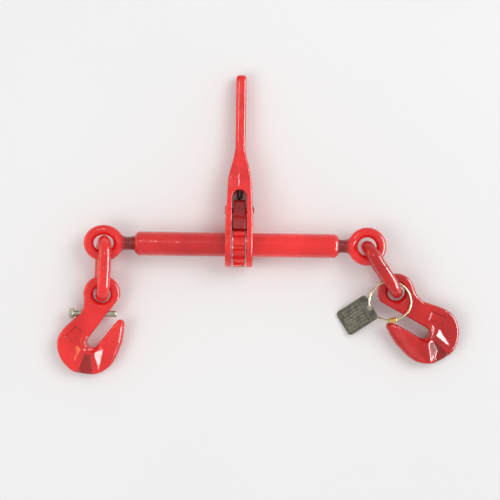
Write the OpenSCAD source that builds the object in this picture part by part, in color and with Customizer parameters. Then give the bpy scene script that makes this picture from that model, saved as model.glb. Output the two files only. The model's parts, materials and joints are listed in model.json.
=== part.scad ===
// Ratchet load binder lying flat on its side: barrel along X, lever along +Y, floor below.
// The origin is on the barrel's axis in the middle of the ratchet wheel.

/* [Barrel] */
// Outside diameter of the barrel tube
barrel_od = 32.4; // [30:0.2:36]
// Length of the barrel from end to end
barrel_len = 274.3; // [240:0.1:340]
// How far the middle of the barrel lies to the left of the ratchet wheel
barrel_shift = 3.1; // [0:0.1:12]
// Wall of the barrel tube
barrel_wall = 4.2; // [3.8:0.1:4.6]
// Length of the threaded nut in each end
nut_len = 30; // [20:1:40]

/* [Screws] */
// Major diameter of the screw thread
screw_d = 20; // [18:0.5:21]
// Full travel of each screw out of the barrel
screw_travel = 72.5; // [50:0.5:75]
// How far the plain neck beside the eye lies below the thread
neck_relief = 1; // [0.5:0.1:2]
// Radius from the middle of an eye to the middle of its bar
eye_ring_r = 19; // [18.5:0.1:19.5]
// Diameter of the bar of an eye
eye_bar_d = 14.5; // [13.5:0.1:15]
// Distance from the barrel's end to the middle of an eye
eye_reach = 40.7; // [38:0.1:46]

/* [Lever] */
// Distance from the barrel axis to the tip of the lever
lever_len = 231.5; // [200:0.5:260]
// Radius of the fork's round end
fork_r = 31; // [30.6:0.1:33]
// Width of the fork over both cheeks
fork_w = 37.5; // [36:0.5:42]
// Width of the slot between the cheeks
slot_w = 20; // [19.6:0.1:21]
// Width of the lever's grip
grip_w = 13.8; // [12:0.2:16]
// Depth of the lever's grip
grip_depth = 25; // [22:0.5:28]
// Distance from the barrel axis to the top of the slot
slot_top = 73; // [70:0.5:76]

/* [Ratchet] */
// Number of teeth on the wheel
teeth = 14; // [12:2:16]
// Radius over the teeth
tooth_tip_r = 30; // [29.6:0.1:30.2]
// Radius at the bottom of the tooth gaps
tooth_root_r = 25; // [24.5:0.1:25.2]
// Width of the wheel
wheel_w = 16; // [14:0.2:16.2]
// Distance from the barrel axis to the pawl pin
pawl_pivot = 47; // [46:0.2:48]
// Diameter of the pawl pin
pawl_pin_d = 8; // [7:0.1:8.4]
// Width of the pawl
pawl_w = 16.4; // [14:0.2:18]

/* [Links] */
// Wire diameter of the link
link_wire = 17.2; // [16:0.1:18]
// Distance between the middles of the wire at a link's two ends
link_pitch = 73; // [68:0.5:80]
// Clear width inside a link
link_inside = 24; // [23:0.5:27]
// Way the left link points, counterclockwise from the barrel's right end
left_link_dir = 268.5; // [240:0.5:300]
// Way the right link points
right_link_dir = -56.3; // [-70:0.1:-50]
// Sideways lean of the left link on the floor
left_link_lean = 11.5; // [0:0.5:12]
// Distance between the two holes that the left link joins
left_hole_gap = 69; // [68:0.5:73]
// Distance between the two holes that the right link joins
right_hole_gap = 73; // [71:0.5:75]

/* [Hooks] */
// Thickness of a hook's body
hook_t = 15; // [14:0.2:15]
// Outside radius of a hook's eye
hook_eye_r = 25; // [24:0.1:25.5]
// Hole of a hook's eye
hook_hole_d = 23.5; // [22.5:0.1:24.5]
// Width of the slot that takes a chain link
throat_w = 15; // [14:0.5:15.5]
// Thickness over the cradle wings beside the slot's end
cradle_t = 34; // [28:0.5:34]
// Turn of the right hook
right_hook_turn = 24; // [18:0.5:27]
// Depth of the hooks' eyes below the barrel axis
hook_drop = 6.5; // [6:0.1:7]
// Diameter of the safety bolt across the left throat
bolt_d = 8; // [6:0.1:9]

/* [Tag] */
// Radius of the wire loop, to the middle of its wire
loop_r = 28.3; // [27.8:0.1:28.6]
// Diameter of the loop's wire
loop_wire = 2.7; // [2:0.1:2.8]
// Length of the tag
tag_len = 54.5; // [46:0.5:55]
// Width of the tag
tag_w = 37; // [30:0.5:38]
// Thickness of the tag
tag_t = 1.5; // [1:0.1:1.6]

/* [Hidden] */
$fn = 64;
red = "crimson";
fit = 0.05;        // radial clearance of a running fit
gap = 0.2;         // clearance beside a turning face
washer_t = 1.6;
washer_d = 50;
pin_d = 5;
// Half widths and places along the barrel
barrel_r = barrel_od / 2;
bore_r = barrel_r - barrel_wall;
left_end = -barrel_shift - barrel_len / 2;
right_end = left_end + barrel_len;
eye_shift = -1.9;
left_eye_x = left_end - eye_reach + eye_shift;
right_eye_x = right_end + eye_reach + eye_shift;
neck_r = screw_d / 2 - neck_relief;
wheel_half = wheel_w / 2;
// The stop collars meet the nuts' inner faces with this much to spare at full travel
stop_spare = 3;
collar_len = 6;
collar_r = bore_r - 0.3;
screw_in = nut_len + stop_spare + screw_travel + collar_len;
// Lever
floor_z = -fork_r;
grip_half = grip_w / 2;
grip_depth_half = grip_depth / 2;
tip_r = 11;
flare_from = 78;
flare_to = 134;
flare_depth_half = 18;
cheek_from = 8;
cheek_depth_half = fork_r - 1.2;
cheek_taper = 2.1;
pin_face = fork_w / 2 - 1.4;
// The lever lies on its fork and on the end of its grip
droop = asin((fork_r - grip_depth_half) / (lever_len - tip_r));
// Ratchet
pitch_angle = 360 / teeth;
tip_half_angle = 0.22 * pitch_angle;
root_half_angle = 0.3 * pitch_angle;
pawl_angle = 2 * pitch_angle;
pawl_rise = 14;
roof_gap = 0.15;
pin_groove = 0.7;
plunger_r = 3.9;
plunger_len = 20;
spring_room = 24;
// Links and hooks
leg_offset = (link_inside + link_wire) / 2;
wire_r = link_wire / 2;
link_spare = 1;
seat = [-12.7, -65.6];
throat_angle = 53;
body_centre = [-18.5, -69];
body_r = 42;
bolt_y = -27;
bolt_head_x = -44;
bolt_head_h = 5.6;
bolt_end_x = 20.2;
bolt_play = 1.6;
// The cradle wings' outer ends rest on the floor
hook_tilt = asin((fork_r - hook_drop - cradle_t / 2) / (norm(seat) + 11));
left_hook_at = left_hole_gap * [cos(left_link_dir), sin(left_link_dir)] + [left_eye_x, 0];
right_hook_at = right_hole_gap * [cos(right_link_dir), sin(right_link_dir)] + [right_eye_x, 0];
// Tag set, placed from the right hook's eye
loop_centre = [right_hook_at.x - 8.8, right_hook_at.y - 14.2, 3.2];
loop_tilt = 5;
loop_flat = 0.86;
hole_at = 197;
ferrule_at = 279;
dip = 7.5;
tag_pose = [-8, -31, 36];
tag_hole_d = 7;
tag_hole_in = 4.6;

// Height of a link's middle: it stands on the floor, or hangs on the eye if that is higher
function link_height(lean) = max(
    floor_z + wire_r + leg_offset * cos(lean),
    eye_bar_d / 2 + link_spare - link_inside / 2 * cos(lean)
);
function smooth(t) = let (s = min(1, max(0, t))) s * s * (3 - 2 * s);
// The loop dips through the tag's hole and comes up again before the ferrule
function loop_dip(a) = -dip * (smooth((a - hole_at + 11) / 22) - smooth((a - 236) / 26));
function loop_point(a) = loop_centre + [
    loop_r * cos(a),
    loop_r * sin(a) * cos(loop_tilt) * (sin(a) < 0 ? loop_flat : 1),
    loop_r * sin(a) * sin(loop_tilt) + loop_dip(a)
];
function unit(v) = v / norm(v);
function loop_dir(a) = unit(loop_point(a + 0.5) - loop_point(a - 0.5));
// A point on a circle in the plane across the barrel: y along the lever, z out of its face
function polar(r, a) = [r * cos(a), r * sin(a)];
// Half width and half depth of the lever at a distance from the barrel axis
function flare(y) = smooth((y - flare_from) / (flare_to - flare_from));
function lever_half_w(y) = let (
        head = fork_w / 2 - cheek_taper * smooth((y - 20) / 60)
    ) head + (grip_half - head) * flare(y);
function lever_half_d(y) = let (
        fall = (cheek_depth_half - flare_depth_half) / (flare_from - cheek_from)
    ) y < flare_from
        ? cheek_depth_half - fall * (y - cheek_from)
        : flare_depth_half + (grip_depth_half - flare_depth_half) * smooth((y - flare_from) / 70);

module along_x(from, to, r) {
    translate([from, 0, 0])
        rotate([0, 90, 0])
            cylinder(h = to - from, r = r);
}

// ---- barrel ----

module thrust_washers() {
    color("silver")
        for (side = [-1, 1])
            difference() {
                middle = side * (wheel_half + gap + washer_t / 2);
                along_x(middle - washer_t / 2, middle + washer_t / 2, washer_d / 2);
                along_x(middle - washer_t, middle + washer_t, barrel_r + 0.1);
            }
}

module lever_frame() {
    rotate([-droop, 0, 0])
        children();
}

// Two drive pins through the wheel into the tube, in opposite tooth gaps
module wheel_pin_shapes(inner, outer) {
    for (side = [0, 180])
        lever_frame()
            rotate([3 * pitch_angle + side, 0, 0])
                translate([0, inner, 0])
                    rotate([-90, 0, 0])
                        cylinder(h = outer - inner, d = pin_d);
}

module barrel_tube() {
    chamfer = [4.5, 3];
    color(red)
        difference() {
            rotate([0, 90, 0])
                rotate_extrude($fn = 96)
                    polygon([
                        [bore_r, left_end],
                        [barrel_r - chamfer.y, left_end],
                        [barrel_r, left_end + chamfer.x],
                        [barrel_r, right_end - chamfer.x],
                        [barrel_r - chamfer.y, right_end],
                        [bore_r, right_end]
                    ]);
            wheel_pin_shapes(bore_r - 1, barrel_r + 1);
        }
}

module end_nut(from) {
    color("firebrick")
        difference() {
            along_x(from, from + nut_len, bore_r);
            along_x(from - 1, from + nut_len + 1, screw_d / 2 + fit);
        }
}

module left_end_nut() {
    end_nut(left_end);
}

module right_end_nut() {
    end_nut(right_end - nut_len);
}

module wheel_outline() {
    polygon([
        for (i = [0:teeth - 1])
            for (corner = [
                [tooth_root_r, -root_half_angle],
                [tooth_tip_r, -tip_half_angle],
                [tooth_tip_r, tip_half_angle],
                [tooth_root_r, root_half_angle]
            ])
                polar(corner[0], (i + 0.5) * pitch_angle + corner[1])
    ]);
}

// Turns a drawing of (y, z) points into a slab of this width across the barrel's axis
module slab_across(width) {
    rotate([90, 0, 90])
        linear_extrude(width, center = true)
            children();
}

module ratchet_wheel() {
    color(red)
        difference() {
            lever_frame()
                slab_across(wheel_w)
                    wheel_outline();
            along_x(-wheel_w, wheel_w, barrel_r);
            wheel_pin_shapes(barrel_r - 2, tooth_tip_r);
        }
}

module wheel_pins() {
    color("silver")
        wheel_pin_shapes(bore_r + 0.4, tooth_root_r - 0.6);
}

// ---- eye screws ----

// Built with its eye at the origin and its shank pointing to -X
module eye_screw() {
    shank_from = eye_reach + 0.6;
    shank_to = eye_reach + screw_in;
    neck_flare = 9.5;
    difference() {
        union() {
            rotate_extrude($fn = 96)
                translate([eye_ring_r, 0])
                    circle(d = eye_bar_d);
            along_x(-shank_to, -shank_from + 4, screw_d / 2);
            along_x(-shank_from, -eye_ring_r, neck_r);
            translate([-eye_ring_r - neck_flare, 0, 0])
                rotate([0, 90, 0])
                    cylinder(h = neck_flare, r1 = neck_r - 0.1, r2 = eye_bar_d / 2 + 5);
        }
        cylinder(h = 2 * eye_bar_d, r = eye_ring_r - eye_bar_d / 2 + 0.4, center = true);
        stop_pin_shape(2 * screw_d);
    }
}

// Cross pin through the collar on the screw's inner end
module stop_pin_shape(length) {
    translate([-eye_reach - screw_in + collar_len / 2, 0, 0])
        cylinder(h = length, d = 3, center = true);
}

module stop_collar() {
    inner = -eye_reach - screw_in;
    difference() {
        along_x(inner, inner + collar_len, collar_r);
        along_x(inner - 1, inner + collar_len + 1, screw_d / 2);
        stop_pin_shape(4 * collar_r);
    }
}

module left_side() {
    translate([left_eye_x, 0, 0])
        mirror([1, 0, 0])
            children();
}

module right_side() {
    translate([right_eye_x, 0, 0])
        children();
}

module left_eye_screw() {
    color(red)
        left_side()
            eye_screw();
}

module left_stop_collar() {
    color("dimgray")
        left_side()
            stop_collar();
}

module left_stop_pin() {
    color("silver")
        left_side()
            stop_pin_shape(2 * collar_r - 0.6);
}

module right_eye_screw() {
    color(red)
        right_side()
            eye_screw();
}

module right_stop_collar() {
    color("dimgray")
        right_side()
            stop_collar();
}

module right_stop_pin() {
    color("silver")
        right_side()
            stop_pin_shape(2 * collar_r - 0.6);
}

// ---- lever ----

module mirrored_outline(stations, half) {
    polygon(concat(
        [for (y = stations) [half(y), y]],
        [for (i = [len(stations) - 1:-1:0]) [-half(stations[i]), stations[i]]]
    ));
}

// Places along the lever where its outline bends
lever_stations = concat(
    [cheek_from, 20, 40, 60],
    [for (i = [0:8]) flare_from + (flare_to - flare_from) * i / 8],
    [flare_to + 14, lever_len - tip_r]
);

module lever_front() {
    mirrored_outline(lever_stations, function (y) lever_half_w(y));
    translate([-fork_w / 2, -fork_r - 1])
        square([fork_w, fork_r + 10]);
    translate([0, lever_len - tip_r])
        intersection() {
            translate([-grip_half, -1])
                square([grip_w, tip_r + 2]);
            circle(r = tip_r);
        }
}

module lever_side() {
    circle(r = fork_r, $fn = 128);
    rotate(-90)
        mirrored_outline(lever_stations, function (y) lever_half_d(y));
    translate([lever_len - tip_r, 0])
        circle(r = tip_r);
}

module lever() {
    slot_r = slot_w / 2;
    color(red)
        lever_frame()
            difference() {
                intersection() {
                    linear_extrude(3 * fork_r, center = true)
                        lever_front();
                    slab_across(2 * fork_w)
                        lever_side();
                }
                linear_extrude(3 * fork_r, center = true) {
                    translate([-slot_r, -2 * fork_r])
                        square([slot_w, 2 * fork_r + slot_top - slot_r]);
                    translate([0, slot_top - slot_r])
                        circle(r = slot_r);
                }
                along_x(-fork_w, fork_w, barrel_r + 0.1);
                translate([0, pawl_pivot, 0]) {
                    along_x(-fork_w, fork_w, pawl_pin_d / 2);
                    along_x(-fork_w, -pin_face, pawl_pin_d / 2 + 3);
                    along_x(pin_face, fork_w, pawl_pin_d / 2 + 3);
                }
                translate([0, slot_top - slot_r, 0])
                    rotate([-90, 0, 0])
                        cylinder(h = slot_r + spring_room + 9, r = plunger_r + fit);
            }
}

// ---- pawl ----

// One half of the pawl's outline, from its tooth round the thumb bump to the roof
function pawl_half() = let (
        along = polar(1, pawl_angle),
        across = polar(1, pawl_angle + 90)
    ) concat(
        [for (a = [0:10:40]) polar(tooth_tip_r + 5, a)],
        [
            (tooth_tip_r + 5) * along - 3 * across,
            (tooth_tip_r + 0.8) * along - 1.7 * across,
            (tooth_tip_r + 0.8) * along + 1.7 * across,
            (tooth_tip_r + 4) * along + 2.4 * across,
            [26, 27.4],
            [33, 26],
            [38, 19.5],
            [46, 14],
            [pawl_pivot + pawl_rise - 4, 11],
            [pawl_pivot + pawl_rise - 1.6, 7.5],
            [pawl_pivot + pawl_rise, 0]
        ]
    );

module pawl() {
    half = pawl_half();
    color("firebrick")
        lever_frame()
            difference() {
                slab_across(pawl_w)
                    polygon(concat(
                        half,
                        [for (i = [len(half) - 2:-1:1]) [half[i].x, -half[i].y]]
                    ));
                translate([0, pawl_pivot, 0])
                    along_x(-pawl_w, pawl_w, pawl_pin_d / 2 + fit);
            }
}

module pawl_pin() {
    color("silver")
        lever_frame()
            translate([0, pawl_pivot, 0])
                difference() {
                    union() {
                        along_x(-pin_face - 2, -pin_face, pawl_pin_d / 2 + 2);
                        along_x(-pin_face, pin_face + 2.6, pawl_pin_d / 2);
                    }
                    difference() {
                        along_x(pin_face + 0.1, pin_face + 1.3, pawl_pin_d);
                        along_x(pin_face, pin_face + 1.4, pawl_pin_d / 2 - pin_groove);
                    }
                }
}

module pawl_pin_clip() {
    color("dimgray")
        lever_frame()
            translate([0, pawl_pivot, 0])
                difference() {
                    along_x(pin_face + 0.2, pin_face + 1.2, pawl_pin_d / 2 + 2.2);
                    along_x(pin_face, pin_face + 2, pawl_pin_d / 2 - pin_groove);
                    translate([pin_face - 1, -pawl_pin_d, -1.6])
                        cube([4, pawl_pin_d, 3.2]);
                }
}

module detent_plunger() {
    tip = pawl_pivot + pawl_rise + roof_gap;
    color("silver")
        lever_frame()
            translate([0, tip, 0])
                rotate([-90, 0, 0])
                    rotate_extrude()
                        polygon([
                            [0, 0],
                            [1.4, 0.3],
                            [2.8, 1.2],
                            [plunger_r, 3],
                            [plunger_r, plunger_len],
                            [0, plunger_len]
                        ]);
}

module detent_spring() {
    start = pawl_pivot + pawl_rise + roof_gap + plunger_len;
    color("gray")
        lever_frame()
            translate([0, start, 0])
                rotate([-90, 0, 0])
                    difference() {
                        cylinder(h = spring_room, r = plunger_r - 0.6);
                        translate([0, 0, -1])
                            cylinder(h = spring_room + 2, r = plunger_r - 1.7);
                    }
}

// ---- links ----

// Built with its length along X and its legs above and below
module chain_link() {
    straight = link_pitch / 2 - leg_offset;
    for (side = [-1, 1]) {
        translate([side * straight, 0, 0])
            rotate([90, 0, 0])
                rotate([0, 0, -90 * side])
                    rotate_extrude(angle = 180)
                        translate([leg_offset, 0])
                            circle(r = wire_r);
        translate([0, 0, side * leg_offset])
            along_x(-straight, straight, wire_r);
    }
    // weld bead round the upper leg
    translate([0, 0, leg_offset])
        along_x(-2.5, 2.5, wire_r + 0.5);
}

module place_link(eye_x, dir, hole_gap, lean) {
    translate([eye_x, 0, link_height(lean)])
        rotate([0, 0, dir])
            translate([hole_gap / 2, 0, 0])
                rotate([-lean, 0, 0])
                    children();
}

module left_link() {
    color(red)
        place_link(left_eye_x, left_link_dir, left_hole_gap, left_link_lean)
            chain_link();
}

module right_link() {
    color(red)
        place_link(right_eye_x, right_link_dir, right_hole_gap, 0)
            chain_link();
}

// ---- hooks ----

// Outline of the left hook: its eye is at the origin and its body below
module hook_outline() {
    along = polar(1, throat_angle);
    across = polar(1, throat_angle - 90);
    tip = [24.5, -40.5];
    circle(r = hook_eye_r - 4);
    translate(body_centre)
        circle(r = body_r, $fn = 128);
    // flank from the eye down to the body
    polygon([
        [hook_eye_r - 7, 0],
        [18.5, -13],
        seat - (throat_w / 2 + 1) * across + 4 * along,
        body_centre,
        body_centre + [-40, 8],
        [-51, -46],
        [-38.6, -35.6],
        [-29.3, -26.3],
        [-25, -18],
        [-23, -7],
        [-hook_eye_r + 4, 0]
    ]);
    // point beside the throat
    translate(tip)
        circle(r = 5);
    polygon([
        tip + [4.8, 1.4],
        [29, -51],
        [26.5, -67.5],
        body_centre + [36, -16],
        body_centre,
        seat + throat_w / 2 * across,
        tip - [4, -3]
    ]);
}

module throat_shape() {
    translate(seat)
        rotate(throat_angle) {
            circle(d = throat_w);
            translate([0, -throat_w / 2])
                square([62, throat_w]);
        }
}

// Cradle rib from beside the seat out towards the body's edge, thinning as it goes
module cradle_rib(inner, outer) {
    reach = norm(outer - inner);
    top = cradle_t / 2 - 0.5;
    low = hook_t / 2 - 1.5;
    translate([inner.x, inner.y, 0])
        rotate([0, 0, atan2(outer.y - inner.y, outer.x - inner.x)])
            rotate([90, 0, 0])
                linear_extrude(6.5, center = true)
                    polygon([
                        [-4, -top],
                        [3, -top],
                        [reach, -low],
                        [reach, low],
                        [3, top],
                        [-4, top]
                    ]);
}

module hook_eye_ring() {
    hole_r = hook_hole_d / 2;
    half = hook_t / 2;
    round = 3.5;
    rotate_extrude($fn = 96)
        polygon([
            [hole_r, -half + round],
            [hole_r + round, -half],
            [hook_eye_r - round, -half],
            [hook_eye_r, -half + round],
            [hook_eye_r, half - round],
            [hook_eye_r - round, half],
            [hole_r + round, half],
            [hole_r, half - round]
        ]);
}

module hook() {
    hole_r = hook_hole_d / 2;
    difference() {
        union() {
            linear_extrude(hook_t, center = true)
                difference() {
                    hook_outline();
                    circle(r = hole_r + 5);
                }
            hook_eye_ring();
            // wings that cup the chain link beside the slot's end
            translate([seat.x, seat.y, 0])
                intersection() {
                    cylinder(h = cradle_t, r = throat_w / 2 + 6, center = true);
                    rotate([0, 0, throat_angle])
                        translate([-40, -20, -cradle_t])
                            cube([42, 40, 2 * cradle_t]);
                }
            cradle_rib([-24, -74], [-39.5, -101]);
            cradle_rib([-11, -77], [-7, -106]);
        }
        linear_extrude(2 * cradle_t, center = true)
            throat_shape();
    }
}

module place_left_hook() {
    translate([left_hook_at.x, left_hook_at.y, -hook_drop])
        rotate([hook_tilt, 0, 0])
            children();
}

module place_right_hook() {
    translate([right_hook_at.x, right_hook_at.y, -hook_drop])
        rotate([hook_tilt, 0, right_hook_turn])
            mirror([1, 0, 0])
                children();
}

module left_hook() {
    color(red)
        place_left_hook()
            difference() {
                hook();
                translate([0, bolt_y, 0])
                    along_x(-60, 30, bolt_d / 2 + fit);
                // flat seat that clears the bolt's head
                translate([0, bolt_y, 0])
                    along_x(-60, bolt_head_x + bolt_head_h + bolt_play, bolt_d);
            }
}

module right_hook() {
    color(red)
        place_right_hook()
            hook();
}

module safety_bolt() {
    color("darkkhaki")
        place_left_hook()
            translate([0, bolt_y, 0]) {
                translate([bolt_head_x, 0, 0])
                    rotate([0, 90, 0])
                        cylinder(h = bolt_head_h, d = 13 / cos(30), $fn = 6);
                along_x(bolt_head_x + bolt_head_h, bolt_end_x - 1.2, bolt_d / 2);
                translate([bolt_end_x - 1.2, 0, 0])
                    rotate([0, 90, 0])
                        cylinder(h = 1.2, r1 = bolt_d / 2, r2 = bolt_d / 2 - 1.2);
            }
}

// ---- tag set ----

module tag_loop() {
    sides = 12;
    rings = 72;
    points = [
        for (i = [0:rings - 1])
            let (
                a = 360 * i / rings,
                at = loop_point(a),
                out = unit(cross(loop_dir(a), [0, 0, 1])),
                up = cross(out, loop_dir(a))
            )
            for (k = [0:sides - 1])
                at + loop_wire / 2 * (out * cos(360 * k / sides) + up * sin(360 * k / sides))
    ];
    faces = [
        for (i = [0:rings - 1])
            for (k = [0:sides - 1])
                let (
                    next = (k + 1) % sides,
                    here = i * sides,
                    there = (i + 1) % rings * sides
                )
                for (face = [
                    [here + k, here + next, there + k],
                    [here + next, there + next, there + k]
                ])
                    face
    ];
    color("wheat")
        polyhedron(points, faces, convexity = 6);
}

module tag_ferrule() {
    at = loop_point(ferrule_at);
    dir = loop_dir(ferrule_at);
    color("gold")
        translate(at)
            rotate([0, acos(dir.z), atan2(dir.y, dir.x)])
                difference() {
                    cylinder(h = 8, d = 6.4, center = true);
                    cylinder(h = 9, r = loop_wire / 2 + 0.25, center = true);
                }
}

module tag_plate() {
    corner = 3.5;
    color("dimgray")
        translate(loop_point(hole_at))
            rotate(tag_pose)
                difference() {
                    linear_extrude(tag_t, center = true)
                        translate([tag_hole_in - tag_len, -tag_w / 2])
                            polygon([
                                [corner, 0],
                                [tag_len - corner, 0],
                                [tag_len, corner],
                                [tag_len, tag_w - corner],
                                [tag_len - corner, tag_w],
                                [corner, tag_w],
                                [0, tag_w - corner],
                                [0, corner]
                            ]);
                    cylinder(h = 4 * tag_t, d = tag_hole_d, center = true);
                }
}

thrust_washers();
barrel_tube();
left_end_nut();
right_end_nut();
ratchet_wheel();
wheel_pins();
left_eye_screw();
left_stop_collar();
left_stop_pin();
right_eye_screw();
right_stop_collar();
right_stop_pin();
lever();
pawl();
pawl_pin();
pawl_pin_clip();
detent_plunger();
detent_spring();
left_link();
right_link();
left_hook();
right_hook();
safety_bolt();
tag_loop();
tag_ferrule();
tag_plate();
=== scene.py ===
"""Looks of the ratchet load binder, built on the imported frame. Shapes are drawn in millimetres."""

import json
import math

import bmesh
import bpy
import numpy as np
from mathutils import Matrix, Vector


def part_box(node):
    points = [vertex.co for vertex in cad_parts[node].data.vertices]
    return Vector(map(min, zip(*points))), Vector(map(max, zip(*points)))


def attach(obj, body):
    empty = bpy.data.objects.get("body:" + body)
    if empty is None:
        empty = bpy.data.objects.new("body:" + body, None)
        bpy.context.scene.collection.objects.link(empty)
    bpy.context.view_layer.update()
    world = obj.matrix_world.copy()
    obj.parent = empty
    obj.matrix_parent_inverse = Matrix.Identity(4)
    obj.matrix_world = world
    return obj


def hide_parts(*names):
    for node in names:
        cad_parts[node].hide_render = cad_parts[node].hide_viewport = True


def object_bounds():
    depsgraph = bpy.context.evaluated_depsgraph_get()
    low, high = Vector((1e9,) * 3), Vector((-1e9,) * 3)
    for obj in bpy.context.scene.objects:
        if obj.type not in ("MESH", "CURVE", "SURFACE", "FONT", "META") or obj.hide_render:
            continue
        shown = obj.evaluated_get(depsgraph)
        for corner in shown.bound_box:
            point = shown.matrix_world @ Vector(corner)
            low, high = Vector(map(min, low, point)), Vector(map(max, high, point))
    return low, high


MM = 0.001
SLOPE_STEP = 0.06

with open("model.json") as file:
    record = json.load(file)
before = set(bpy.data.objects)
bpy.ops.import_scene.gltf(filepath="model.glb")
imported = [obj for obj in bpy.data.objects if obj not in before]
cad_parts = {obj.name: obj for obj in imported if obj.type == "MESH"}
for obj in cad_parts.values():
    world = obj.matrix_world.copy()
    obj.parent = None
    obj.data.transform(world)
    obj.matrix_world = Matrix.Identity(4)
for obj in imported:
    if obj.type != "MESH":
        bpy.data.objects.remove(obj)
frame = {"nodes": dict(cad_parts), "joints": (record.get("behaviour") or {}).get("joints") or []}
CAD_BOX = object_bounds()
JOINTS = {joint["name"]: joint for joint in frame["joints"]}


# ---- places taken from the frame ----


def pivot(joint):
    """Place of a joint in millimetres."""
    return Vector(JOINTS[joint]["pos_m"]) / MM


def middle(node):
    """Middle of a CAD node's box in millimetres."""
    low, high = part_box(node)
    return (low + high) / 2 / MM


def turn(axis, degrees):
    return Matrix.Rotation(math.radians(degrees), 4, axis)


def move(x, y, z):
    return Matrix.Translation((x, y, z))


# ---- flat and solid distance fields ----


def smooth(t):
    """Eases from 0 at t = 0 to 1 at t = 1."""
    t = np.clip(t, 0.0, 1.0)
    return t * t * (3.0 - 2.0 * t)


def join(a, b, k):
    """Union of two fields with a fillet of about k."""
    h = np.clip(0.5 + 0.5 * (b - a) / k, 0.0, 1.0)
    return b + (a - b) * h - k * h * (1.0 - h)


def cut(a, b, k):
    """What a and b have in common, with a rounded edge of about k."""
    return -join(-a, -b, k)


def bump_at(x, width):
    """One at x = 0, fading to zero over width."""
    return np.exp(-((x / width) ** 2))


def disc(x, y, centre, r):
    """Distance to a circle's edge, less than zero inside it."""
    return np.hypot(x - centre[0], y - centre[1]) - r


def segment(x, y, a, b):
    """Distance to the line from a to b, and how far along it from 0 to 1."""
    dx, dy = b[0] - a[0], b[1] - a[1]
    t = np.clip(((x - a[0]) * dx + (y - a[1]) * dy) / (dx * dx + dy * dy), 0.0, 1.0)
    return np.hypot(x - a[0] - t * dx, y - a[1] - t * dy), t


def polygon(x, y, points):
    """Distance to a closed outline, less than zero inside it."""
    distance = np.full(x.shape, 1e9)
    inside = np.zeros(x.shape, bool)
    for a, b in zip(points, points[1:] + points[:1]):
        distance = np.minimum(distance, segment(x, y, a, b)[0])
        rise = b[1] - a[1]
        if abs(rise) > 1e-9:
            crossing = (b[0] - a[0]) * (y - a[1]) / rise + a[0]
            inside ^= ((a[1] > y) != (b[1] > y)) & (x < crossing)
    return np.where(inside, -distance, distance)


def round_corner(a, b, r):
    """What a and b have in common, with the edge where they cross at right angles rounded by r."""
    a, b = a + r, b + r
    return np.hypot(np.maximum(a, 0), np.maximum(b, 0)) + np.minimum(np.maximum(a, b), 0) - r


def box_flat(x, y, half_x, half_y):
    return round_corner(np.abs(x) - half_x, np.abs(y) - half_y, 0.0)


def slab(flat, z, half, r):
    """Raises a flat field to this half height, with edges rounded by r."""
    return round_corner(flat, np.abs(z) - half, r)


# ---- meshes ----


def add_object(name, mesh, material, body, nodes):
    """Shows a mesh in place of these CAD nodes, riding on a body of the frame."""
    obj = bpy.data.objects.new(name, mesh)
    bpy.context.scene.collection.objects.link(obj)
    mesh.materials.clear()
    mesh.materials.append(material)
    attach(obj, body)
    if nodes:
        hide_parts(*nodes)
    return obj


def build_mesh(name, points, faces, place, normals=None):
    """Mesh from points in millimetres, moved by the matrix place. A mirrored one is turned right out."""
    basis = np.array(place)
    moved = points @ basis[:3, :3].T + basis[:3, 3]
    if np.linalg.det(basis[:3, :3]) < 0:
        faces = [tuple(reversed(face)) for face in faces]
    mesh = bpy.data.meshes.new(name)
    mesh.from_pydata((moved * MM).tolist(), [], faces)
    mesh.shade_smooth()
    if normals is not None:
        aimed = normals @ basis[:3, :3].T
        mesh.normals_split_custom_set_from_vertices(aimed.tolist())
    return mesh


def gradient(field, points):
    """The field's slope at each point."""
    parts = []
    for axis in np.eye(3) * SLOPE_STEP:
        ahead = field(*(points + axis).T)
        behind = field(*(points - axis).T)
        parts.append((ahead - behind) / (2 * SLOPE_STEP))
    return np.stack(parts, 1)


def settle(field, points, step):
    """Moves points onto the field's zero surface."""
    slope = gradient(field, points)
    size = np.maximum((slope**2).sum(1), 0.1)
    shift = slope * (field(*points.T) / size)[:, None]
    length = np.linalg.norm(shift, axis=1, keepdims=True)
    return points - shift * np.minimum(1.0, 0.8 * step / np.maximum(length, 1e-9))


def mixed_cells(solid):
    """Grid cells with some corners inside the solid and some outside."""
    count = np.zeros(tuple(n - 1 for n in solid.shape), int)
    for corner in np.ndindex(2, 2, 2):
        count += solid[tuple(slice(c, n - 1 + c) for c, n in zip(corner, solid.shape))]
    return (count > 0) & (count < 8)


def wall_quads(solid, index):
    """One quad across each grid edge that enters or leaves the solid, between its four cells."""
    quads = []
    for axis in range(3):
        u, v = (axis + 1) % 3, (axis + 2) % 3
        near = np.take(solid, range(solid.shape[axis] - 1), axis)
        far = np.take(solid, range(1, solid.shape[axis]), axis)
        edges = np.argwhere(near != far)
        ring = []
        for du, dv in ((0, 0), (1, 0), (1, 1), (0, 1)):
            cell = edges.copy()
            cell[:, u] -= du
            cell[:, v] -= dv
            ring.append(index[tuple(cell.T)])
        ring = np.stack(ring, 1)
        leaves = near[tuple(edges.T)]
        quads.append(np.where(leaves[:, None], ring, ring[:, ::-1]))
    return np.concatenate(quads)


def relax(field, points, quads, step):
    """Evens out the points and draws them onto the surface, three times over."""
    ends = np.concatenate([quads, np.roll(quads, 1, 1), np.roll(quads, -1, 1)]).ravel()
    starts = np.tile(quads.ravel(), 3)
    for _ in range(3):
        total = np.stack([np.bincount(starts, points[ends, k], len(points)) for k in range(3)], 1)
        points = total / np.bincount(starts, minlength=len(points))[:, None]
        points = settle(field, settle(field, points, step), step)
    return settle(field, points, step)


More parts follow.
